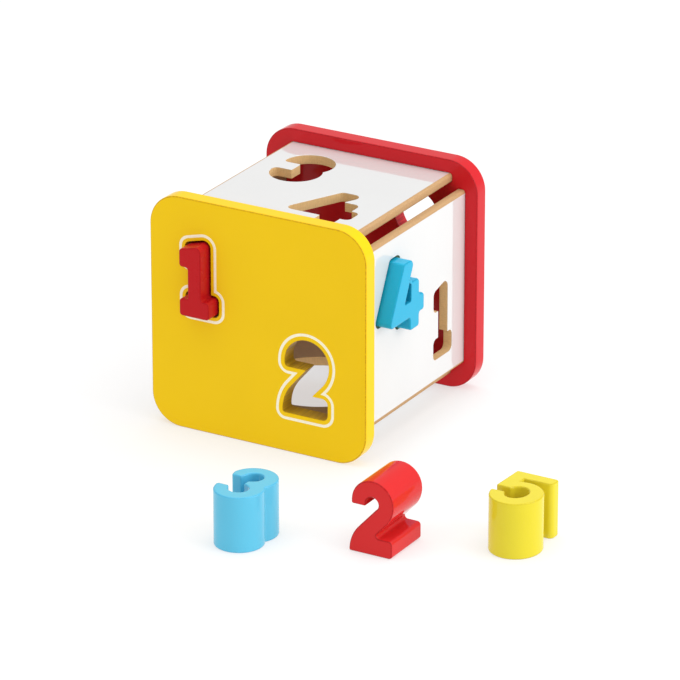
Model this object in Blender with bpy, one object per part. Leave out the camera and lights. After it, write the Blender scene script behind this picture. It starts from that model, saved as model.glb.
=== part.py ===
"""Number sorting cube: two end panels, four boards glued between them and five number blocks.

The origin is the middle of the front panel's foot. +X is the cube's right, +Y its back, +Z up.
"""

import math

import bmesh
import bpy
import numpy as np
from mathutils import Matrix

MM = 0.001

# ---- driving dimensions, in millimetres --------------------------------------------------------
CUBE = 151.5  # width and height of the end panels
END_THICKNESS = 11.0
END_CORNER = 20.3
END_RIM = 1.0  # rounding of an end panel's rims
INSIDE_DEPTH = 127.0  # between the end panels
BOARD_THICKNESS = 6.0
BOARD_WIDTH = 115.5
BOARD_RIM = 2.0  # rounding of a board's two long edges
BOARD_SPREAD = 134.0  # between the outer faces of two opposite boards
GROOVE_DEPTH = 3.0
GAP = 0.3  # between pieces that touch
ACCESS_RADIUS = 40.0  # round opening in the bottom board
NUMERAL_HEIGHT = 48.8
CLEARANCE = 1.3  # between a block and its cut-out, all round
BLOCK_DEPTH = 35.4
BLOCK_RIM = 1.0
BLOCK_CORNER = 1.15  # least rounding of a block's upright edges
BLOCK_PROTRUDES = 9.8  # how far a block that is pushed in stands out
ARC_STEP = 15.0  # degrees of a round stretch between two points
LEAST_STEP = 0.05  # between two points of an outline

MID_HEIGHT = CUBE / 2
MID_DEPTH = INSIDE_DEPTH / 2 + END_THICKNESS / 2
BOARD_REACH = BOARD_SPREAD / 2 - BOARD_THICKNESS / 2  # from the cube's middle to a board's middle

# ---- colours -------------------------------------------------------------------------------------
YELLOW = (0.84, 0.54, 0.01)
RED = (0.62, 0.02, 0.03)
WHITE = (0.86, 0.86, 0.86)
NUMBER_RED = (0.60, 0.02, 0.03)
NUMBER_BLUE = (0.03, 0.45, 0.78)
NUMBER_LIGHT_BLUE = (0.12, 0.52, 0.80)
NUMBER_YELLOW = (0.84, 0.72, 0.04)

# ---- faces: the directions that a viewer outside sees as right, up and towards the viewer ------
FACES = {
    "front": ((1, 0, 0), (0, 0, 1), (0, -1, 0)),
    "back": ((-1, 0, 0), (0, 0, 1), (0, 1, 0)),
    "right": ((0, 1, 0), (0, 0, 1), (1, 0, 0)),
    "left": ((0, -1, 0), (0, 0, 1), (-1, 0, 0)),
    "top": ((1, 0, 0), (0, 1, 0), (0, 0, 1)),
    "bottom": ((1, 0, 0), (0, -1, 0), (0, 0, -1)),
}

# Each face's numerals: which one, and its middle, right of and above the middle of the face
NUMERALS = {
    "front": ((1, -39.0, 26.1), (2, 33.7, -25.6)),
    "back": ((2, -33.0, 26.1), (5, 33.0, -25.6)),
    "right": ((4, -25.5, 19.2), (1, 36.5, -18.4)),
    "left": ((5, -26.0, 19.2), (3, 29.0, -18.8)),
    "top": ((3, -26.8, 25.4), (4, 20.6, -22.5)),
}


# ---- flat outlines ---------------------------------------------------------------------------------
def arc(x, y, radius, start, end, radius_y=None):
    """Points of an arc or an ellipse's arc about (x, y), from start to end in degrees."""
    count = max(2, math.ceil(abs(end - start) / ARC_STEP)) + 1
    angles = np.radians(np.linspace(start, end, count))
    tall = radius if radius_y is None else radius_y
    return [(x + radius * math.cos(a), y + tall * math.sin(a), 0.0) for a in angles]


def rounded(corners):
    """Closed outline through corners (x, y, radius), each with its fillet."""
    points = []
    places = np.array([corner[:2] for corner in corners], float)
    for i, corner in enumerate(places):
        radius = corners[i][2]
        if radius == 0:
            points.append(corner)
            continue
        before = places[i - 1] - corner
        after = places[(i + 1) % len(places)] - corner
        before /= np.linalg.norm(before)
        after /= np.linalg.norm(after)
        half = math.acos(float(np.clip(before @ after, -1, 1))) / 2
        middle = before + after
        centre = corner + middle / np.linalg.norm(middle) * radius / math.sin(half)
        first = corner + before * radius / math.tan(half) - centre
        last = corner + after * radius / math.tan(half) - centre
        start = math.degrees(math.atan2(first[1], first[0]))
        turn = math.degrees(math.atan2(last[1], last[0])) - start
        turn = (turn + 180) % 360 - 180
        points += [np.array(p[:2]) for p in arc(*centre, radius, start, start + turn)]
    return np.array(points)


def offset(points, distance):
    """A counter-clockwise outline moved outwards by distance, or inwards if it is negative."""
    ends = np.roll(points, -1, axis=0)
    ways = ends - points
    lengths = np.linalg.norm(ways, axis=1)
    kept = lengths > 1e-6
    ways = ways[kept] / lengths[kept, None]
    starts = points[kept] + distance * np.column_stack((ways[:, 1], -ways[:, 0]))
    while True:
        corners = meetings(starts, ways)
        spans = np.einsum("ij,ij->i", np.roll(corners, -1, axis=0) - corners, ways)
        worst = int(np.argmin(spans))
        if spans[worst] >= 0:
            return corners
        starts = np.delete(starts, worst, axis=0)
        ways = np.delete(ways, worst, axis=0)


def meetings(starts, ways):
    """Where each line meets the one before it."""
    last_starts = np.roll(starts, 1, axis=0)
    last_ways = np.roll(ways, 1, axis=0)
    cross = last_ways[:, 0] * ways[:, 1] - last_ways[:, 1] * ways[:, 0]
    step = starts - last_starts
    straight = np.abs(cross) < 1e-6
    along = (step[:, 0] * ways[:, 1] - step[:, 1] * ways[:, 0]) / np.where(straight, 1, cross)
    met = last_starts + along[:, None] * last_ways
    return np.where(straight[:, None], starts, met)


def edge_normals(points):
    """The outward direction of each edge, from each point to the next."""
    ways = np.roll(points, -1, axis=0) - points
    ways /= np.linalg.norm(ways, axis=1)[:, None]
    return np.column_stack((ways[:, 1], -ways[:, 0]))


def unfolded(points, distance):
    """An outline without the short edges that would fold when it grows by distance."""
    steps = np.linalg.norm(points - np.roll(points, 1, axis=0), axis=1)
    points = points[steps > LEAST_STEP]
    while True:
        after = edge_normals(points)
        before = np.roll(after, 1, axis=0)
        dots = np.einsum("ij,ij->i", before, after)
        turns = np.arctan2(np.cross(before, after), dots)
        lengths = np.linalg.norm(np.roll(points, -1, axis=0) - points, axis=1)
        hollows = distance * np.tan(np.minimum(turns, 0) / 2)
        spans = lengths + hollows + np.roll(hollows, -1)
        worst = int(np.argmin(spans))
        if spans[worst] > LEAST_STEP:
            return points
        following = (worst + 1) % len(points)
        hollow = worst if turns[worst] < turns[following] else following
        points = np.delete(points, hollow, axis=0)


def rounded_offset(points, distance):
    """An outline moved outwards by distance, with an arc at each sharp outer corner."""
    after = edge_normals(points)
    before = np.roll(after, 1, axis=0)
    moved = []
    for point, first, last in zip(points, before, after):
        turn = math.degrees(math.atan2(first[0] * last[1] - first[1] * last[0], first @ last))
        if turn <= ARC_STEP:
            moved.append(point + distance * (first + last) / (1 + first @ last))
            continue
        start = math.degrees(math.atan2(first[1], first[0]))
        moved += [np.array(p[:2]) for p in arc(*point, distance, start, start + turn)]
    return np.array(moved)


# ---- numerals: (x, y, fillet) corners and arcs, counter-clockwise, standing on y = 0 -----------
ONE = [
    (-11.8, 0, 3.6), (11.8, 0, 3.6), (11.8, 14.1, 3.6), (6.2, 14.1, 0.4), (6.2, 50.2, 4.7),
    (-11.8, 45.6, 3.5), (-11.8, 31.8, 3.5), (-5.8, 31.8, 0.4), (-5.8, 14.1, 0.4), (-11.8, 14.1, 3.6),
]
FOUR = [
    (-24.4, 8.7, 4.3), (2, 8.7, 0.4), (2, 0, 3.5), (16, 0, 3.5), (16, 8.9, 0.4), (22.1, 8.9, 3.5),
    (22.1, 23.1, 4.2), (16, 23.1, 0.4), (16, 34.4, 4.4), (4.5, 34.4, 0.4), (11.5, 48.8, 5),
    (-4.9, 48.8, 3.2),
]
FOUR_COUNTER = [(-3.5, 20.6, 0.8), (4.5, 20.6, 0.8), (4.5, 37, 0.8)]


def two(is_block):
    """A block's 2 has an open bowl, which a cut-out's 2 leaves out."""
    foot = [(-16.2, 0, 1.9), (15.3, 0, 3.7), (15.3, 14, 3.8), (4.3, 14, 0.4)]
    bowl = arc(-2.9, 34.4, 19.1, -42.3, 0) + arc(0.8, 34.4, 15.4, 9, 180)
    back = arc(8.5, 2, 24.7, 139.5, 180)
    if not is_block:
        return foot + bowl + [(-14.6, 30.4, 2.5), (0.3, 30.4, 0.4)] + back
    tip = [(-14.6, 30.4, 2.5), (-2.5, 30.4, 0.8)]
    return foot + bowl + tip + arc(0.5, 33.9, 2.8, 190, -60) + back


def three(is_block):
    """A block's 3 has two open bowls and a shorter tip, where a cut-out's has a plain tongue."""
    lower_round = arc(0, 16.6, 16.6, 186, 389)
    lower_tip = (-16.6, 18.9, 3.3)
    if not is_block:
        tongue = [(-16.6, 30, 3.3), (-4.4, 30, 1), (-4.4, 18.9, 1)]
        return lower_round + arc(0, 32.7, 16.6, -29, 174) + tongue + [lower_tip]
    upper_round = arc(0, 32.7, 16.6, -29, 168) + [(-15.2, 30, 3.3)]
    upper_bowl = [(-6.5, 30, 0.8)] + arc(-0.2, 34.1, 4.4, 180, -60)
    middle_bar = [(-1.9, 28.3, 0.9), (-1.9, 22.4, 0.9)]
    lower_bowl = arc(-0.2, 16.3, 4.6, 60, -165) + [(-6.9, 18.9, 0.8)]
    return lower_round + upper_round + upper_bowl + middle_bar + lower_bowl + [lower_tip]


def five(is_block):
    """A block's 5 has an open bowl and a rounder bar, where a cut-out's has a short notch."""
    back = [(-16.2, 49, 1.8), (-17.5, 21.9, 1.6)]
    if is_block:
        bar = [(14.5, 37.6, 4.6), (14.5, 49, 3.4)]
        notch = arc(-0.3, 19.5, 5.5, 160, -173, 7.0)
        bowl = arc(0.1, 18.3, 17.5, 190, 465, 18.3) + [(-4.4, 37.6, 0)]
    else:
        bar = [(15, 37.6, 2.8), (15, 49, 2.8)]
        notch = [(-12.5, 21.6, 0.8), (-12.5, 19, 0.8)]
        bowl = arc(0.1, 18.3, 17.5, 190, 434, 18.3) + [(5, 37.6, 0.4)]
    return bar + back + notch + [(-17, 18.7, 2)] + bowl


def cut_out_outline(number):
    return rounded({1: ONE, 2: two(False), 3: three(False), 4: FOUR, 5: five(False)}[number])


def block_outline(number):
    shape = {1: ONE, 2: two(True), 3: three(True), 4: FOUR, 5: five(True)}[number]
    core = offset(rounded(shape), -CLEARANCE - BLOCK_CORNER)
    return rounded_offset(unfolded(core, BLOCK_CORNER), BLOCK_CORNER)


def circle(radius):
    return np.array([point[:2] for point in arc(0, 0, radius, 0, 360)[:-1]])


def rectangle(width, height, radius):
    x, y = width / 2, height / 2
    return rounded([(-x, -y, radius), (x, -y, radius), (x, y, radius), (-x, y, radius)])


# ---- Blender helpers ---------------------------------------------------------------------------------
def clear_scene():
    for item in list(bpy.data.objects):
        bpy.data.objects.remove(item, do_unlink=True)


def new_collection(name):
    collection = bpy.data.collections.new(name)
    bpy.context.scene.collection.children.link(collection)
    return collection


def material(name, colour, roughness):
    made = bpy.data.materials.new(name)
    made.use_nodes = True
    shader = made.node_tree.nodes["Principled BSDF"]
    shader.inputs["Base Color"].default_value = (*colour, 1)
    shader.inputs["Roughness"].default_value = roughness
    shader.inputs["Metallic"].default_value = 0
    made.diffuse_color = (*colour, 1)
    return made


def frame(face, right, up, out):
    """Placement of a flat outline on a face: right of, above and out of the cube's middle, in mm."""
    columns = [np.array(way, float) for way in FACES[face]]
    middle = np.array((0, MID_DEPTH, MID_HEIGHT))
    place = middle + right * columns[0] + up * columns[1] + out * columns[2]
    matrix = Matrix.Identity(4)
    for i, column in enumerate(columns):
        matrix.col[i].xyz = column
    matrix.translation = place * MM
    return matrix


def slab(name, outline, thickness, rim, matrix, collection):
    """Mesh object: an outline given thickness about its own plane, its rims rounded by rim."""
    curve = bpy.data.curves.new(name, "CURVE")
    curve.dimensions = "2D"
    curve.fill_mode = "BOTH"
    curve.extrude = (thickness / 2 - rim) * MM
    curve.bevel_depth = rim * MM
    curve.bevel_resolution = 1
    curve.offset = -rim * MM
    spline = curve.splines.new("POLY")
    spline.points.add(len(outline) - 1)
    for point, (x, y) in zip(spline.points, outline):
        point.co = (x * MM, y * MM, 0, 1)
    spline.use_cyclic_u = True
    drawn = bpy.data.objects.new(name + "_outline", curve)
    collection.objects.link(drawn)
    drawn.matrix_world = matrix
    bpy.context.view_layer.update()

    evaluated = drawn.evaluated_get(bpy.context.evaluated_depsgraph_get())
    mesh = bpy.data.meshes.new_from_object(evaluated)
    built = bmesh.new()
    built.from_mesh(mesh)
    bmesh.ops.remove_doubles(built, verts=built.verts, dist=1e-6)
    bmesh.ops.recalc_face_normals(built, faces=built.faces)
    built.to_mesh(mesh)
    built.free()
    mesh.shade_smooth()
    mesh.set_sharp_from_angle(angle=math.radians(35))
    made = bpy.data.objects.new(name, mesh)
    collection.objects.link(made)
    made.matrix_world = drawn.matrix_world
    bpy.data.objects.remove(drawn, do_unlink=True)
    return made


def cutter(name, outline, thickness, matrix, cutters):
    made = slab(name, outline, thickness, 0, matrix, cutters)
    made.hide_render = True
    made.display_type = "WIRE"
    return made


def cut(piece, tool):
    modifier = piece.modifiers.new(tool.name, "BOOLEAN")
    modifier.operation = "DIFFERENCE"
    modifier.solver = "EXACT"
    modifier.object = tool


def cut_numerals(piece, face, thickness, out, cutters):
    """Cuts a face's numerals through a panel whose middle lies out of the cube's middle."""
    for number, right, up in NUMERALS[face]:
        matrix = frame(face, right, up - NUMERAL_HEIGHT / 2, out)
        name = f"cut_{number}_{face}"
        cut(piece, cutter(name, cut_out_outline(number), 2 * thickness, matrix, cutters))


# ---- the cube ----------------------------------------------------------------------------------------
def board_section(face, grow=0.0):
    """A board's cross-section, rounded at its long edges, as the front face sees it."""
    width, height = BOARD_WIDTH + 2 * grow, BOARD_THICKNESS + 2 * grow
    outline = rectangle(width, height, BOARD_RIM + grow)
    if face in ("left", "right"):
        outline = outline[:, ::-1] * (1, -1)
    places = {
        "top": (0, BOARD_REACH),
        "bottom": (0, -BOARD_REACH),
        "right": (BOARD_REACH, 0),
        "left": (-BOARD_REACH, 0),
    }
    return outline + places[face]


def board(face, parts, cutters, finish):
    length = INSIDE_DEPTH + 2 * GROOVE_DEPTH
    piece = slab(f"{face}_board", board_section(face), length, 0, frame("front", 0, 0, 0), parts)
    if face == "bottom":
        matrix = frame(face, 0, 0, BOARD_REACH)
        opening = circle(ACCESS_RADIUS)
        cut(piece, cutter("cut_access", opening, 2 * BOARD_THICKNESS, matrix, cutters))
    else:
        cut_numerals(piece, face, BOARD_THICKNESS, BOARD_REACH, cutters)
    piece.data.materials.append(finish)
    return piece


def end_panel(face, parts, cutters, finish):
    out = INSIDE_DEPTH / 2 + END_THICKNESS / 2
    outline = rectangle(CUBE, CUBE, END_CORNER)
    piece = slab(f"{face}_panel", outline, END_THICKNESS, END_RIM, frame(face, 0, 0, out), parts)
    cut_numerals(piece, face, END_THICKNESS, out, cutters)
    depth = GROOVE_DEPTH + GAP
    way = 1 if face == "front" else -1
    for side in ("top", "bottom", "left", "right"):
        matrix = frame("front", 0, 0, way * INSIDE_DEPTH / 2)
        groove = board_section(side, GAP)
        cut(piece, cutter(f"groove_{side}_{face}", groove, 2 * depth, matrix, cutters))
    piece.data.materials.append(finish)
    return piece


# ---- the blocks --------------------------------------------------------------------------------------
def block(number, matrix, parts, cutters, finish):
    """A number block. matrix places the numeral's plane at the block's front face."""
    behind = Matrix.Translation((0, 0, -BLOCK_DEPTH / 2 * MM))
    name = f"number_{number}_block"
    piece = slab(name, block_outline(number), BLOCK_DEPTH, BLOCK_RIM, matrix @ behind, parts)
    if number == 4:
        hole = rounded(FOUR_COUNTER)
        cut(piece, cutter("cut_counter", hole, 2 * BLOCK_DEPTH, matrix @ behind, cutters))
    piece.data.materials.append(finish)
    return piece


def pushed_in(face):
    """Placement of a block in the first cut-out of a face."""
    _, right, up = NUMERALS[face][0]
    if face == "front":
        surface = INSIDE_DEPTH / 2 + END_THICKNESS
    else:
        surface = BOARD_SPREAD / 2
    return frame(face, right, up - NUMERAL_HEIGHT / 2, surface + BLOCK_PROTRUDES)


def standing(x, y):
    """Placement of a block that stands on the floor, its front face at y."""
    matrix = frame("front", x, 0, 0)
    matrix.translation = (x * MM, y * MM, -CLEARANCE * MM)
    return matrix


def lying(x, y):
    """Placement of a block that lies on the floor on its back, its foot at y."""
    matrix = frame("top", x, 0, 0)
    matrix.translation = (x * MM, y * MM, BLOCK_DEPTH * MM)
    return matrix


def main():
    clear_scene()
    parts = new_collection("number_sorting_cube")
    cutters = new_collection("cutters")

    end_panel("front", parts, cutters, material("yellow_lacquer", YELLOW, 0.3))
    end_panel("back", parts, cutters, material("red_lacquer", RED, 0.3))
    for face in ("top", "right", "left", "bottom"):
        board(face, parts, cutters, material(f"white_lacquer_{face}", WHITE, 0.25))

    block(1, pushed_in("front"), parts, cutters, material("number_1_red", NUMBER_RED, 0.3))
    block(2, standing(139.8, -111.7), parts, cutters, material("number_2_red", NUMBER_RED, 0.3))
    block(3, lying(64.4, -151.4), parts, cutters, material("number_3_blue", NUMBER_LIGHT_BLUE, 0.3))
    block(4, pushed_in("right"), parts, cutters, material("number_4_blue", NUMBER_BLUE, 0.3))
    block(5, lying(208.1, -78.9), parts, cutters, material("number_5_yellow", NUMBER_YELLOW, 0.3))


main()
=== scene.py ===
"""Number sorting cube: lacquered end panels, white boards with raw edges and glossy number blocks.

Each CAD node is replaced by a finer piece in the same place. Sizes are in millimetres, and a piece's
own axes are right and up on its face and out towards the viewer.
"""

import math

import bpy
import numpy as np
from mathutils import Matrix, Vector
from mathutils.geometry import tessellate_polygon


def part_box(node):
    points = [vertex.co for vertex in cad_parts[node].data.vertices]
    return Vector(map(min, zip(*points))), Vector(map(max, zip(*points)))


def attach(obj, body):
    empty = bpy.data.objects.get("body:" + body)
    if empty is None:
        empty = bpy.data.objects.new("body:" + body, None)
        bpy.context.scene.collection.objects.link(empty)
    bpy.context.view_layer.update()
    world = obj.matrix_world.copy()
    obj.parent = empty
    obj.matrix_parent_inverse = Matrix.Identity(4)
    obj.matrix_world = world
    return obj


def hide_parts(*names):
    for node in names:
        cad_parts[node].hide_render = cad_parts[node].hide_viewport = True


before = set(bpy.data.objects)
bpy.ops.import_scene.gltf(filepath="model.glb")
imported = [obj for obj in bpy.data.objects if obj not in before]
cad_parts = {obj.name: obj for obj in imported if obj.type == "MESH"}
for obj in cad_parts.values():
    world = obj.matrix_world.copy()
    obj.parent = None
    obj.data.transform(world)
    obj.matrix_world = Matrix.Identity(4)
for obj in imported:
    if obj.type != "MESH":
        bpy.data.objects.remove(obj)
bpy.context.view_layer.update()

MM = 0.001

# ---- sizes, in millimetres, and angles, in radians -----------------------------------------------
CUBE = 151.5
END_CORNER = 20.3
END_RIM = 1.0
BOARD_WIDTH = 115.5
BOARD_THICKNESS = 6.0
BOARD_RIM = 2.0  # rounding of a board's two long raw edges
BOARD_REACH = 64.0  # from the cube's middle to a board's middle
GROOVE_DEPTH = 3.3
GROOVE_GAP = 0.3
ACCESS_RADIUS = 40.0
NUMERAL_HEIGHT = 48.8
BLOCK_INSET = 1.4  # a block's edge inside its cut-out's edge
BLOCK_RIM = 1.0
CORNER_ROUNDING = 1.15  # least rounding of a block's upright edges
COUNTER_LIP = 0.5
PANEL_LIP = 0.35  # rounding where a cut-out meets a panel's face
BOARD_LIP = 0.2
PRINT_NEAR = {1: 2.25, 2: 2.7}  # from each cut-out's edge to the line printed round it
PRINT_WIDTH = 1.8
PRINT_SUNK = 0.02
PRINT_PROUD = 0.05
CHORD_ERROR = 0.012  # how far a round stretch may lie inside its true arc
LEAST_STEP = 0.03  # between two points of an outline
NEARLY_ZERO = 1e-6
RIM_STEPS = 5
FAN_LEAST_TURN = math.radians(15)  # an outer corner that turns more than this grows into an arc
FAN_STEP = math.radians(12)
SHARP_TURN = math.radians(40)  # an edge that turns more than this is shaded as sharp

# ---- material slots: of the panels, prints and blocks, and of the boards ------------------------
PAINT, SOAKED = range(2)
INSIDE, OUTSIDE, EDGE, CUT = range(4)

# ---- faces: the directions that a viewer outside sees as right, up and towards the viewer ------
FACES = {
    "front": ((1, 0, 0), (0, 0, 1), (0, -1, 0)),
    "back": ((-1, 0, 0), (0, 0, 1), (0, 1, 0)),
    "right": ((0, 1, 0), (0, 0, 1), (1, 0, 0)),
    "left": ((0, -1, 0), (0, 0, 1), (-1, 0, 0)),
    "top": ((1, 0, 0), (0, 1, 0), (0, 0, 1)),
    "bottom": ((1, 0, 0), (0, -1, 0), (0, 0, -1)),
}

# Each face's numerals: which one, and its middle, right of and above the middle of the face
NUMERALS = {
    "front": ((1, -39.0, 26.1), (2, 33.7, -25.6)),
    "back": ((2, -33.0, 26.1), (5, 33.0, -25.6)),
    "right": ((4, -25.5, 19.2), (1, 36.5, -18.4)),
    "left": ((5, -26.0, 19.2), (3, 29.0, -18.8)),
    "top": ((3, -26.8, 25.4), (4, 20.6, -22.5)),
    "bottom": (),
}


# ---- flat outlines: counter-clockwise arrays of points -----------------------------------------
def arc(x, y, radius, start, end, radius_y=None):
    """Points of an arc or an ellipse's arc about (x, y), from start to end in degrees."""
    step = math.degrees(math.sqrt(8 * CHORD_ERROR / radius))
    count = max(2, math.ceil(abs(end - start) / step)) + 1
    angles = np.radians(np.linspace(start, end, count))
    tall = radius if radius_y is None else radius_y
    return [(x + radius * math.cos(a), y + tall * math.sin(a), 0.0) for a in angles]


def rounded(corners):
    """Closed outline through corners (x, y, radius), each with its fillet."""
    points = []
    places = np.array([corner[:2] for corner in corners], float)
    for i, corner in enumerate(places):
        radius = corners[i][2]
        if radius == 0:
            points.append(corner)
            continue
        before = places[i - 1] - corner
        after = places[(i + 1) % len(places)] - corner
        before /= np.linalg.norm(before)
        after /= np.linalg.norm(after)
        half = math.acos(float(np.clip(before @ after, -1, 1))) / 2
        middle = before + after
        centre = corner + middle / np.linalg.norm(middle) * radius / math.sin(half)
        first = corner + before * radius / math.tan(half) - centre
        last = corner + after * radius / math.tan(half) - centre
        start = math.degrees(math.atan2(first[1], first[0]))
        turn = math.degrees(math.atan2(last[1], last[0])) - start
        turn = (turn + 180) % 360 - 180
        points += [np.array(p[:2]) for p in arc(*centre, radius, start, start + turn)]
    return np.array(points)


def offset(points, distance):
    """An outline moved outwards by distance, or inwards if it is negative, without folds."""
    ends = np.roll(points, -1, axis=0)
    ways = ends - points
    lengths = np.linalg.norm(ways, axis=1)
    kept = lengths > NEARLY_ZERO
    ways = ways[kept] / lengths[kept, None]
    starts = points[kept] + distance * np.column_stack((ways[:, 1], -ways[:, 0]))
    while True:
        corners = meetings(starts, ways)
        spans = np.einsum("ij,ij->i", np.roll(corners, -1, axis=0) - corners, ways)
        worst = int(np.argmin(spans))
        if spans[worst] >= 0:
            return corners
        starts = np.delete(starts, worst, axis=0)
        ways = np.delete(ways, worst, axis=0)


def meetings(starts, ways):
    """Where each line meets the one before it."""
    last_starts = np.roll(starts, 1, axis=0)
    last_ways = np.roll(ways, 1, axis=0)
    cross = last_ways[:, 0] * ways[:, 1] - last_ways[:, 1] * ways[:, 0]
    step = starts - last_starts
    straight = np.abs(cross) < NEARLY_ZERO
    along = (step[:, 0] * ways[:, 1] - step[:, 1] * ways[:, 0]) / np.where(straight, 1, cross)
    met = last_starts + along[:, None] * last_ways
    return np.where(straight[:, None], starts, met)


def edge_normals(points):
    """The outward direction of each edge, from each point to the next."""
    ways = np.roll(points, -1, axis=0) - points
    ways /= np.linalg.norm(ways, axis=1)[:, None]
    return np.column_stack((ways[:, 1], -ways[:, 0]))


def unfolded(points, distance):
    """An outline without the short edges that would fold when it grows by distance."""
    steps = np.linalg.norm(points - np.roll(points, 1, axis=0), axis=1)
    points = points[steps > LEAST_STEP]
    while True:
        after = edge_normals(points)
        before = np.roll(after, 1, axis=0)
        dots = np.einsum("ij,ij->i", before, after)
        turns = np.arctan2(np.cross(before, after), dots)
        lengths = np.linalg.norm(np.roll(points, -1, axis=0) - points, axis=1)
        hollows = distance * np.tan(np.minimum(turns, 0) / 2)
        spans = lengths + hollows + np.roll(hollows, -1)
        worst = int(np.argmin(spans))
        if spans[worst] > LEAST_STEP:
            return points
        following = (worst + 1) % len(points)
        hollow = worst if turns[worst] < turns[following] else following
        points = np.delete(points, hollow, axis=0)


# ---- numerals: (x, y, fillet) corners and arcs, standing on y = 0 -------------------------------
ONE = [
    (-11.8, 0, 3.6), (11.8, 0, 3.6), (11.8, 14.1, 3.6), (6.2, 14.1, 0.4), (6.2, 50.2, 4.7),
    (-11.8, 45.6, 3.5), (-11.8, 31.8, 3.5), (-5.8, 31.8, 0.4), (-5.8, 14.1, 0.4), (-11.8, 14.1, 3.6),
]
FOUR = [
    (-24.4, 8.7, 4.3), (2, 8.7, 0.4), (2, 0, 3.5), (16, 0, 3.5), (16, 8.9, 0.4), (22.1, 8.9, 3.5),
    (22.1, 23.1, 4.2), (16, 23.1, 0.4), (16, 34.4, 4.4), (4.5, 34.4, 0.4), (11.5, 48.8, 5),
    (-4.9, 48.8, 3.2),
]
FOUR_COUNTER = [(-3.5, 20.6, 0.8), (4.5, 20.6, 0.8), (4.5, 37, 0.8)]


def two(is_block):
    """A block's 2 has an open bowl, which a cut-out's 2 leaves out."""
    foot = [(-16.2, 0, 1.9), (15.3, 0, 3.7), (15.3, 14, 3.8), (4.3, 14, 0.4)]
    bowl = arc(-2.9, 34.4, 19.1, -42.3, 0) + arc(0.8, 34.4, 15.4, 9, 180)
    back = arc(8.5, 2, 24.7, 139.5, 180)
    if not is_block:
        return foot + bowl + [(-14.6, 30.4, 2.5), (0.3, 30.4, 0.4)] + back
    tip = [(-14.6, 30.4, 2.5), (-2.5, 30.4, 0.8)]
    return foot + bowl + tip + arc(0.5, 33.9, 2.8, 190, -60) + back


def three(is_block):
    """A block's 3 has two open bowls and a shorter tip, where a cut-out's has a plain tongue."""
    lower_round = arc(0, 16.6, 16.6, 186, 389)
    lower_tip = (-16.6, 18.9, 3.3)
    if not is_block:
        tongue = [(-16.6, 30, 3.3), (-4.4, 30, 1), (-4.4, 18.9, 1)]
        return lower_round + arc(0, 32.7, 16.6, -29, 174) + tongue + [lower_tip]
    upper_round = arc(0, 32.7, 16.6, -29, 168) + [(-15.2, 30, 3.3)]
    upper_bowl = [(-6.5, 30, 0.8)] + arc(-0.2, 34.1, 4.4, 180, -60)
    middle_bar = [(-1.9, 28.3, 0.9), (-1.9, 22.4, 0.9)]
    lower_bowl = arc(-0.2, 16.3, 4.6, 60, -165) + [(-6.9, 18.9, 0.8)]
    return lower_round + upper_round + upper_bowl + middle_bar + lower_bowl + [lower_tip]


def five(is_block):
    """A block's 5 has an open bowl and a rounder bar, where a cut-out's has a short notch."""
    back = [(-16.2, 49, 1.8), (-17.5, 21.9, 1.6)]
    if is_block:
        bar = [(14.5, 37.6, 4.6), (14.5, 49, 3.4)]
        notch = arc(-0.3, 19.5, 5.5, 160, -173, 7.0)
        bowl = arc(0.1, 18.3, 17.5, 190, 465, 18.3) + [(-4.4, 37.6, 0)]
    else:
        bar = [(15, 37.6, 2.8), (15, 49, 2.8)]
        notch = [(-12.5, 21.6, 0.8), (-12.5, 19, 0.8)]
        bowl = arc(0.1, 18.3, 17.5, 190, 434, 18.3) + [(5, 37.6, 0.4)]
    return bar + back + notch + [(-17, 18.7, 2)] + bowl


def cut_out_outline(number):
    return rounded({1: ONE, 2: two(False), 3: three(False), 4: FOUR, 5: five(False)}[number])


def block_core(number):
    """The outline that a block's edges are rounded from, CORNER_ROUNDING inside them."""
    shape = {1: ONE, 2: two(True), 3: three(True), 4: FOUR, 5: five(True)}[number]
    core = offset(rounded(shape), -BLOCK_INSET - CORNER_ROUNDING)
    return unfolded(core, CORNER_ROUNDING)


def rectangle(width, height, radius):
    x, y = width / 2, height / 2
    return rounded([(-x, -y, radius), (x, -y, radius), (x, y, radius), (-x, y, radius)])


def circle(radius):
    return np.array([point[:2] for point in arc(0, 0, radius, 0, 360)[:-1]])


# ---- walls: an outline swept through levels ----------------------------------------------------
class Wall:
    """A closed wall. Each level is (distance the outline has grown by, height)."""

    def __init__(self, points, levels, slots=None, ways=None, is_hole=False, floor_slot=None):
        self.points = points
        self.ways = outward_ways(points) if ways is None else ways
        self.levels = levels
        self.slots = slots or [PAINT] * (len(levels) - 1)
        self.is_hole = is_hole
        self.floor_slot = floor_slot  # a pocket's floor closes it at its last level

    def loop(self, level):
        distance, height = self.levels[level]
        flat = self.points + distance * self.ways
        return np.column_stack((flat, np.full(len(flat), height)))


def outward_ways(points):
    """How each point moves when the outline grows by 1, so that its edges stay parallel."""
    after = edge_normals(points)
    before = np.roll(after, 1, axis=0)
    dots = np.einsum("ij,ij->i", before, after)
    return (before + after) / (1 + dots)[:, None]


def fanned(points):
    """An outline whose sharp outer corners grow into arcs: its points, and how each one moves."""
    after = edge_normals(points)
    before = np.roll(after, 1, axis=0)
    places, ways = [], []
    for point, first, last in zip(points, before, after):
        turn = math.atan2(first[0] * last[1] - first[1] * last[0], first @ last)
        if turn < FAN_LEAST_TURN:
            places.append(point)
            ways.append((first + last) / (1 + first @ last))
            continue
        start = math.atan2(first[1], first[0])
        for angle in np.linspace(start, start + turn, math.ceil(turn / FAN_STEP) + 1):
            places.append(point)
            ways.append((math.cos(angle), math.sin(angle)))
    return np.array(places), np.array(ways)


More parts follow.
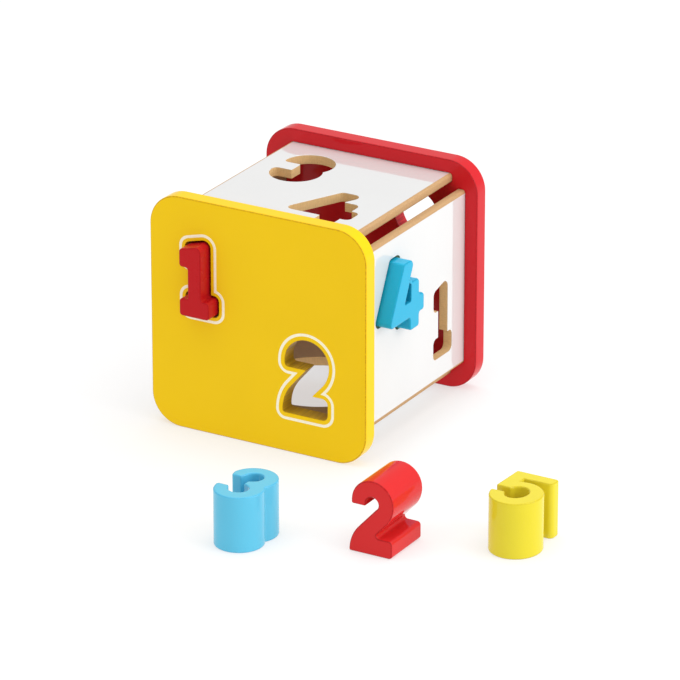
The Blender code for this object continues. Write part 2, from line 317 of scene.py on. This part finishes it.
def rim_levels(edge, half, rim, way=1):
    """Levels of a wall from one face to the other, rounded at both: way is -1 for a hole."""
    angles = np.linspace(0, math.pi / 2, RIM_STEPS + 1)
    low = [(edge - way * rim * (1 - math.sin(a)), -half + rim * (1 - math.cos(a))) for a in angles]
    return low + [(distance, -height) for distance, height in reversed(low)]


# ---- meshes --------------------------------------------------------------------------------------
def solid(name, walls, cap_slots, materials, matrix, rim_shade_width=0.0):
    """A closed mesh object: walls between two flat faces, the lower one at the first level."""
    points, faces, slots = [], [], []
    first_loops, last_loops = [], []
    for wall in walls:
        loops = []
        for level in range(len(wall.levels)):
            loops.append(range(len(points), len(points) + len(wall.points)))
            points += list(wall.loop(level))
        for low, high, slot in zip(loops, loops[1:], wall.slots):
            for i in range(len(low)):
                j = (i + 1) % len(low)
                quad = (low[i], low[j], high[j], high[i])
                faces.append(quad[::-1] if wall.is_hole else quad)
                slots.append(slot)
        first_loops.append(loops[0])
        if wall.floor_slot is None:
            last_loops.append(loops[-1])
        else:
            cap(points, [loops[-1]], -1, wall.floor_slot, faces, slots)
    cap(points, first_loops, -1, cap_slots[0], faces, slots)
    cap(points, last_loops, 1, cap_slots[1], faces, slots)

    mesh = bpy.data.meshes.new(name)
    mesh.from_pydata([Vector(point) * MM for point in points], [], faces)
    mesh.polygons.foreach_set("material_index", slots)
    for material in materials:
        mesh.materials.append(material)
    mesh.shade_smooth()
    mesh.set_sharp_from_angle(angle=SHARP_TURN)
    made = bpy.data.objects.new(name, mesh)
    bpy.context.scene.collection.objects.link(made)
    made.matrix_world = matrix
    # marks the rims where shade is painted
    add_rim_shade_mask(mesh, walls, rim_shade_width)
    smooth = made.modifiers.new("face_normals", "WEIGHTED_NORMAL")
    smooth.keep_sharp = True
    return made


def cap(points, loops, way, slot, faces, slots):
    """Fills a flat face, with its holes, facing up or down."""
    flat = [[Vector(points[i]) for i in loop] for loop in loops]
    numbers = [i for loop in loops for i in loop]
    for triangle in tessellate_polygon(flat):
        a, b, c = (numbers[i] for i in triangle)
        cross = np.cross(points[b] - points[a], points[c] - points[a])[2]
        faces.append((a, b, c) if cross * way > 0 else (c, b, a))
        slots.append(slot)


def add_rim_shade_mask(mesh, walls, rim):
    """Point attribute marking where shade is painted on rims, and where the rims are dulled: 0 on flat
    faces and walls, up to 1 on a rim, nearer to the face.
    """
    values = []
    for wall in walls:
        heights = np.array([height for _, height in wall.levels])
        depth = np.minimum(heights - heights.min(), heights.max() - heights)
        share = np.clip(depth / rim, 0, 1) if rim > 0 else np.zeros(len(depth))
        values += list(np.repeat(np.sin(math.pi * np.sqrt(share)) ** 2, len(wall.points)))
    attribute = mesh.attributes.new("rim_shade_and_dulling", "FLOAT", "POINT")
    attribute.data.foreach_set("value", values)


def face_matrix(face, place):
    """Placement whose axes are a face's right, up and out, with its origin at a place in metres."""
    matrix = Matrix.Identity(4)
    for i, column in enumerate(FACES[face]):
        matrix.col[i].xyz = column
    matrix.translation = place
    return matrix


def middle(node):
    low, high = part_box(node)
    return (low + high) / 2


# ---- the cube --------------------------------------------------------------------------------------
def numeral_holes(face, half, lip, slots):
    """The walls of a face's numeral cut-outs."""
    holes = []
    for number, right, up in NUMERALS[face]:
        outline = cut_out_outline(number) + (right, up - NUMERAL_HEIGHT / 2)
        levels = rim_levels(0, half, lip, -1)
        holes.append(Wall(outline, levels, slots, is_hole=True))
    return holes


def board_section(side):
    """The outline of the groove that a board's end sits in, on an end panel's inner face."""
    width, height = BOARD_WIDTH + 2 * GROOVE_GAP, BOARD_THICKNESS + 2 * GROOVE_GAP
    outline = rectangle(width, height, BOARD_RIM + GROOVE_GAP)
    if side in ("left", "right"):
        outline = outline[:, ::-1] * (1, -1)
    places = {
        "top": (0, BOARD_REACH),
        "bottom": (0, -BOARD_REACH),
        "right": (BOARD_REACH, 0),
        "left": (-BOARD_REACH, 0),
    }
    return outline + places[side]


def end_panel(face, material, wall_material):
    """An end panel: rounded rims, numeral cut-outs and four grooves for the boards' ends."""
    node = f"{face}_panel"
    low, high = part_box(node)
    half = (high.y - low.y) / 2 / MM
    edge = rectangle(CUBE, CUBE, END_CORNER)
    walls = [Wall(edge, rim_levels(0, half, END_RIM))]
    hole_slots = [PAINT] * RIM_STEPS + [SOAKED] + [PAINT] * RIM_STEPS
    walls += numeral_holes(face, half, PANEL_LIP, hole_slots)
    for side in ("top", "bottom", "left", "right"):
        levels = [(0, -half), (0, -half + GROOVE_DEPTH)]
        groove = Wall(board_section(side), levels, [SOAKED], is_hole=True, floor_slot=SOAKED)
        walls.append(groove)
    matrix = face_matrix(face, middle(node))
    materials = [material, wall_material]
    piece = solid(f"{face}_end_panel", walls, (PAINT, PAINT), materials, matrix, END_RIM)
    put_in_place(piece, "box", node)


def board(face, materials):
    """A board, white outside and raw inside, with two rounded edges and square ends.

    Its materials are those of the inside, the outside, the two edges and the cut-outs' walls.
    """
    node = f"{face}_board"
    low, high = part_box(node)
    half = BOARD_THICKNESS / 2
    size = (high - low) / MM
    right, up = (Vector(way) for way in FACES[face][:2])
    x, y = abs(size @ right) / 2, abs(size @ up) / 2
    corners = np.array([(-x, -y), (x, -y), (x, y), (-x, y)])
    rounded_way = (1, 0) if face in ("top", "bottom") else (0, 1)
    ways = np.sign(corners) * rounded_way
    edge_slots = [EDGE] * (2 * RIM_STEPS + 1)
    walls = [Wall(corners, rim_levels(0, half, BOARD_RIM), edge_slots, ways)]
    hole_slots = [CUT] * (RIM_STEPS + 1) + [OUTSIDE] * RIM_STEPS
    if face == "bottom":
        levels = rim_levels(0, half, BOARD_LIP, -1)
        walls.append(Wall(circle(ACCESS_RADIUS), levels, hole_slots, is_hole=True))
    walls += numeral_holes(face, half, BOARD_LIP, hole_slots)
    matrix = face_matrix(face, middle(node))
    piece = solid(f"{face}_side_board", walls, (INSIDE, OUTSIDE), materials, matrix)
    put_in_place(piece, "box", node)


def printed_line(numeral, material):
    """The line printed round a cut-out of the front panel: a thin raised film."""
    number, right, up = numeral
    outline = cut_out_outline(number) + (right, up - NUMERAL_HEIGHT / 2)
    low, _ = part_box("front_panel")
    levels = [(0, -PRINT_SUNK), (0, PRINT_PROUD)]
    near = PRINT_NEAR[number]
    walls = [
        Wall(offset(outline, near + PRINT_WIDTH), levels),
        Wall(offset(outline, near), levels, is_hole=True),
    ]
    centre = middle("front_panel")
    matrix = face_matrix("front", (centre.x, low.y, centre.z))
    piece = solid(f"printed_line_{number}", walls, (PAINT, PAINT), [material], matrix)
    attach(piece, "box")


# ---- the blocks --------------------------------------------------------------------------------------
def block(number, face, material):
    """A number block whose numeral reads from a face's side, placed by its CAD node's box."""
    node = f"number_{number}_block"
    low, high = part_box(node)
    right, up, out = (Vector(way) for way in FACES[face])
    half = abs((high - low) @ out) / 2 / MM
    points, ways = fanned(block_core(number))
    edge = points + CORNER_ROUNDING * ways
    walls = [Wall(points, rim_levels(CORNER_ROUNDING, half, BLOCK_RIM), ways=ways)]
    if number == 4:
        levels = rim_levels(0, half, COUNTER_LIP, -1)
        walls.append(Wall(rounded(FOUR_COUNTER), levels, is_hole=True))
    across, along = (float(value) / 2 * MM for value in edge.min(axis=0) + edge.max(axis=0))
    place = middle(node) - across * right - along * up
    matrix = face_matrix(face, place)
    piece = solid(f"number_{number}", walls, (PAINT, PAINT), [material], matrix, BLOCK_RIM)
    put_in_place(piece, f"block_{number}", node)


def put_in_place(piece, body, node):
    """Makes a piece ride on its body in place of its CAD node, which it hides."""
    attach(piece, body)
    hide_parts(node)


# ---- materials ---------------------------------------------------------------------------------------
# The colour sockets of a mix node, which share their names with its other sockets
MIX_FIRST, MIX_SECOND, MIX_RESULT = 6, 7, 2


class Nodes:
    """Short calls for building a material's node tree."""

    def __init__(self, name):
        self.material = bpy.data.materials.new(name)
        self.material.use_nodes = True
        self.tree = self.material.node_tree
        self.shader = self.tree.nodes["Principled BSDF"]
        self.place = self.add("ShaderNodeTexCoord").outputs["Object"]

    def add(self, kind, **settings):
        node = self.tree.nodes.new(kind)
        for key, value in settings.items():
            setattr(node, key, value)
        return node

    def link(self, source, target):
        if isinstance(source, bpy.types.NodeSocket):
            self.tree.links.new(source, target)
        else:
            target.default_value = source

    def stretched(self, scale):
        node = self.add("ShaderNodeMapping")
        self.link(self.place, node.inputs["Vector"])
        node.inputs["Scale"].default_value = scale
        return node.outputs["Vector"]

    def noise(self, scale, detail, place=None):
        """Noise with grains of about 1 / scale, in metres unless its place is stretched."""
        node = self.add("ShaderNodeTexNoise")
        self.link(self.place if place is None else place, node.inputs["Vector"])
        node.inputs["Scale"].default_value = scale
        node.inputs["Detail"].default_value = detail
        return node.outputs["Fac"]

    def fitted(self, value, low, high, to_low=0.0, to_high=1.0):
        node = self.add("ShaderNodeMapRange")
        for key, source in zip(
            ("Value", "From Min", "From Max", "To Min", "To Max"),
            (value, low, high, to_low, to_high),
        ):
            self.link(source, node.inputs[key])
        return node.outputs["Result"]

    def math(self, operation, first, second):
        node = self.add("ShaderNodeMath", operation=operation)
        self.link(first, node.inputs[0])
        self.link(second, node.inputs[1])
        return node.outputs["Value"]

    def mixed(self, share, first, second):
        node = self.add("ShaderNodeMix", data_type="RGBA")
        self.link(share, node.inputs["Factor"])
        self.link(first, node.inputs[MIX_FIRST])
        self.link(second, node.inputs[MIX_SECOND])
        return node.outputs[MIX_RESULT]

    def bump(self, height, distance, strength, normal=None):
        """A bumped normal, for which a height of 1 stands for distance, in metres."""
        node = self.add("ShaderNodeBump")
        self.link(height, node.inputs["Height"])
        node.inputs["Distance"].default_value = distance
        node.inputs["Strength"].default_value = strength
        if normal is not None:
            self.link(normal, node.inputs["Normal"])
        return node.outputs["Normal"]

    def finish(self, colour, roughness, normal):
        self.link(colour, self.shader.inputs["Base Color"])
        self.link(roughness, self.shader.inputs["Roughness"])
        self.link(normal, self.shader.inputs["Normal"])
        return self.material


def tinted(colour, factor):
    return (*(min(1.0, channel * factor) for channel in colour), 1.0)


RIM_SHADE_SHARE = 0.9  # of the rim colour, where the painted shade on the rim is darkest
RIM_DULLING = 0.12  # added roughness there
HANDLED_DULLING = 0.05  # added roughness where hands have touched the paint
COAT_IOR = 1.6
COAT_ROUGHNESS = 0.03
SOAKED_IOR = 1.3


def lacquer(name, colour, rim_shade_colour, shine=0.08, ior=1.2, coat=0.0):
    """Sprayed paint on fine board: slight orange peel, drifts of tone and painted shade on the rims, in
    patches.
    """
    nodes = Nodes(name)
    drifts = nodes.noise(22, detail=3)
    tone = nodes.mixed(drifts, tinted(colour, 0.965), tinted(colour, 1.03))
    patches = nodes.fitted(nodes.noise(900, detail=4), 0.35, 0.60, to_low=0.55)
    # painted shade: the rims are darkened towards the rim colour, in patches
    rim_shade_and_dulling = nodes.add("ShaderNodeAttribute", attribute_name="rim_shade_and_dulling").outputs["Fac"]
    patchy_rim_shade = nodes.math("MULTIPLY", rim_shade_and_dulling, patches)
    rim_shade_share = nodes.math("MULTIPLY", patchy_rim_shade, RIM_SHADE_SHARE)
    painted = nodes.mixed(rim_shade_share, tone, (*rim_shade_colour, 1.0))
    touched = nodes.noise(70, detail=4)
    handled = nodes.fitted(touched, 0.35, 0.7, to_low=shine, to_high=shine + HANDLED_DULLING)
    roughness = nodes.math("ADD", handled, nodes.math("MULTIPLY", patchy_rim_shade, RIM_DULLING))
    peel = nodes.bump(nodes.noise(420, detail=1), distance=0.0001, strength=0.10)
    grain = nodes.noise(2600, detail=2)
    fibres = nodes.bump(grain, distance=0.00003, strength=0.06, normal=peel)
    nodes.shader.inputs["IOR"].default_value = ior
    nodes.shader.inputs["Coat Weight"].default_value = coat
    nodes.shader.inputs["Coat IOR"].default_value = COAT_IOR
    nodes.shader.inputs["Coat Roughness"].default_value = COAT_ROUGHNESS
    return nodes.finish(painted, roughness, fibres)


def soaked_wall(name, colour):
    """Paint soaked into a cut-out's sawn wall: streaks through the thickness and a duller face."""
    nodes = Nodes(name)
    streaks = nodes.noise(1.0, detail=3, place=nodes.stretched((900, 900, 45)))
    tone = nodes.mixed(nodes.fitted(streaks, 0.3, 0.7), tinted(colour, 0.55), tinted(colour, 1.1))
    rough = nodes.fitted(streaks, 0.3, 0.7, to_low=0.32, to_high=0.5)
    nodes.shader.inputs["IOR"].default_value = SOAKED_IOR
    return nodes.finish(tone, rough, nodes.bump(streaks, distance=0.00008, strength=0.3))


def raw_board(name, colour):
    """Sawn fibre board: fine fibres in layers along the board, darker specks and a dry surface."""
    nodes = Nodes(name)
    layers = nodes.noise(1.0, detail=3, place=nodes.stretched((160, 160, 1500)))
    ticks = nodes.noise(1.0, detail=2, place=nodes.stretched((1900, 1900, 260)))
    specks = nodes.fitted(nodes.noise(2200, detail=2), 0.60, 0.72)
    tone = nodes.mixed(layers, tinted(colour, 0.86), tinted(colour, 1.14))
    tick_share = nodes.fitted(ticks, 0.45, 0.65, to_high=0.35)
    ticked = nodes.mixed(tick_share, tone, tinted(colour, 0.74))
    speck_share = nodes.math("MULTIPLY", specks, 0.45)
    speckled = nodes.mixed(speck_share, ticked, tinted(colour, 0.42))
    rough = nodes.fitted(layers, 0.3, 0.7, to_low=0.72, to_high=0.92)
    height = nodes.math("ADD", layers, nodes.math("MULTIPLY", ticks, 0.6))
    return nodes.finish(speckled, rough, nodes.bump(height, distance=0.00012, strength=0.35))


def print_film(name, thin, full):
    """Screen-printed ink, a little thinner in places."""
    nodes = Nodes(name)
    tone = nodes.mixed(nodes.noise(1400, detail=3), (*thin, 1.0), (*full, 1.0))
    rough = nodes.fitted(nodes.noise(500, detail=2), 0.3, 0.7, to_low=0.22, to_high=0.36)
    mesh_marks = nodes.noise(3000, detail=2)
    return nodes.finish(tone, rough, nodes.bump(mesh_marks, distance=0.00003, strength=0.1))


# ---- stage, in metres and watts ----------------------------------------------------------------------
FLOOR_HALF = 20.0
FLOOR_TONE = 0.46
FLOOR_GLOW = 0.52
SURROUND_GLOW = 0.74
WHITE_LIGHT = (1.0, 1.0, 1.0, 1.0)
TARGET = Vector((0.01448, 0.0695, 0.04538))
CAMERA_AZIMUTH = math.radians(30)
CAMERA_ELEVATION = math.radians(22.374)
CAMERA_DISTANCE = 3.305
CAMERA_LENS = 283.3
CAMERA_REACH = 100.0

# Each square light: its name, its place, its size and its power
LIGHTS = (
    ("overhead", (0.1, 0.1, 2.2), 2.4, 24),
    ("right_side", (2.3, 0.3, 1.0), 1.8, 27),
)
LIGHTS_AIM = Vector((0, 0.07, 0.07))


def make_camera():
    back = Vector((
        math.sin(CAMERA_AZIMUTH) * math.cos(CAMERA_ELEVATION),
        -math.cos(CAMERA_AZIMUTH) * math.cos(CAMERA_ELEVATION),
        math.sin(CAMERA_ELEVATION),
    ))
    camera = bpy.data.objects.new("camera", bpy.data.cameras.new("camera"))
    bpy.context.scene.collection.objects.link(camera)
    camera.data.lens = CAMERA_LENS
    camera.data.clip_end = CAMERA_REACH
    camera.location = TARGET + back * CAMERA_DISTANCE
    camera.rotation_euler = (-back).to_track_quat("-Z", "Y").to_euler()
    bpy.context.scene.camera = camera


def make_floor():
    """A pale floor, lit a little from below as on a light table."""
    mesh = bpy.data.meshes.new("floor")
    corners = [(-1, -1), (1, -1), (1, 1), (-1, 1)]
    mesh.from_pydata([(x * FLOOR_HALF, y * FLOOR_HALF, 0) for x, y in corners], [], [range(4)])
    floor = bpy.data.objects.new("floor", mesh)
    bpy.context.scene.collection.objects.link(floor)
    nodes = Nodes("pale_floor")
    nodes.shader.inputs["Base Color"].default_value = (FLOOR_TONE, FLOOR_TONE, FLOOR_TONE, 1.0)
    nodes.shader.inputs["Roughness"].default_value = 0.9
    nodes.shader.inputs["Specular IOR Level"].default_value = 0
    nodes.shader.inputs["Emission Color"].default_value = WHITE_LIGHT
    nodes.shader.inputs["Emission Strength"].default_value = FLOOR_GLOW
    mesh.materials.append(nodes.material)


def area_light(name, place, size, power):
    light = bpy.data.lights.new(name, "AREA")
    light.size = size
    light.energy = power
    made = bpy.data.objects.new(name, light)
    bpy.context.scene.collection.objects.link(made)
    made.location = place
    made.rotation_euler = (LIGHTS_AIM - made.location).to_track_quat("-Z", "Y").to_euler()


def make_lights():
    world = bpy.data.worlds.new("studio")
    world.use_nodes = True
    background = world.node_tree.nodes["Background"]
    background.inputs["Color"].default_value = WHITE_LIGHT
    background.inputs["Strength"].default_value = SURROUND_GLOW
    bpy.context.scene.world = world
    for name, place, size, power in LIGHTS:
        area_light(name, place, size, power)


# ---- assembly ----------------------------------------------------------------------------------------
YELLOW = (0.93, 0.60, 0.006)
# painted shade: the rim colours draw a darker line along the rounded rims
YELLOW_RIM_SHADE = (0.44, 0.21, 0.006)
# painted shade: the yellow cut-out walls are darker than the yellow paint, for the shade inside the
# holes
YELLOW_WALL_SHADED = (0.66, 0.40, 0.020)
RED = (0.63, 0.016, 0.023)
# painted shade: a darker line along the red panel's rounded rims
RED_RIM_SHADE = (0.28, 0.007, 0.010)
RED_SOAKED = (0.78, 0.035, 0.050)
WHITE = (0.73, 0.73, 0.725)
CREAM_THIN = (0.98, 0.91, 0.66)
CREAM_FULL = (1.0, 0.96, 0.74)
RAW_INSIDE = (0.50, 0.37, 0.21)
RAW_EDGE = (0.54, 0.325, 0.150)
# painted light: the cut-out walls are a lighter tone of the raw board than its edges, to offset the
# shade inside the holes
RAW_CUT_LIGHTENED = (0.82, 0.55, 0.26)

# Each block: its number, the face that its numeral reads from, its slot, its paint, the darker
# colour painted as shade on its rims, its roughness and its index of refraction
BLOCKS = (
    (1, "front", "number_1_red", (0.53, 0.010, 0.014), (0.37, 0.006, 0.010), 0.25, 1.2),
    (2, "front", "number_2_red", (0.68, 0.024, 0.025), (0.33, 0.006, 0.008), 0.05, 1.24),
    (3, "top", "number_3_blue", (0.11, 0.54, 0.77), (0.07, 0.43, 0.68), 0.04, 1.38),
    (4, "right", "number_4_blue", (0.012, 0.42, 0.66), (0.008, 0.28, 0.46), 0.10, 1.30),
    (5, "top", "number_5_yellow", (0.77, 0.65, 0.032), (0.58, 0.45, 0.015), 0.05, 1.30),
)


def main():
    bpy.context.scene.view_settings.view_transform = "Standard"
    make_camera()
    make_floor()
    make_lights()

    yellow = lacquer("yellow_paint", YELLOW, YELLOW_RIM_SHADE)
    # the yellow cut-out walls carry painted shade in their colour
    end_panel("front", yellow, soaked_wall("yellow_wall_shaded", YELLOW_WALL_SHADED))
    red = lacquer("red_paint", RED, RED_RIM_SHADE, ior=1.24)
    end_panel("back", red, soaked_wall("red_soaked", RED_SOAKED))
    white = lacquer("white_paint", WHITE, WHITE, shine=0.05, ior=1.5, coat=1.0)
    inside = raw_board("raw_inside", RAW_INSIDE)
    board_materials = [inside, white, raw_board("raw_edge", RAW_EDGE), raw_board("raw_cut_lightened", RAW_CUT_LIGHTENED)]
    for face in ("top", "right", "left", "bottom"):
        board(face, board_materials)
    cream = print_film("cream_print", CREAM_THIN, CREAM_FULL)
    for numeral in NUMERALS["front"]:
        printed_line(numeral, cream)

    for number, face, slot, colour, rim_shade_colour, shine, ior in BLOCKS:
        paint = lacquer(f"block_paint_{number}", colour, rim_shade_colour, shine, ior)
        block(number, face, paint)


main()
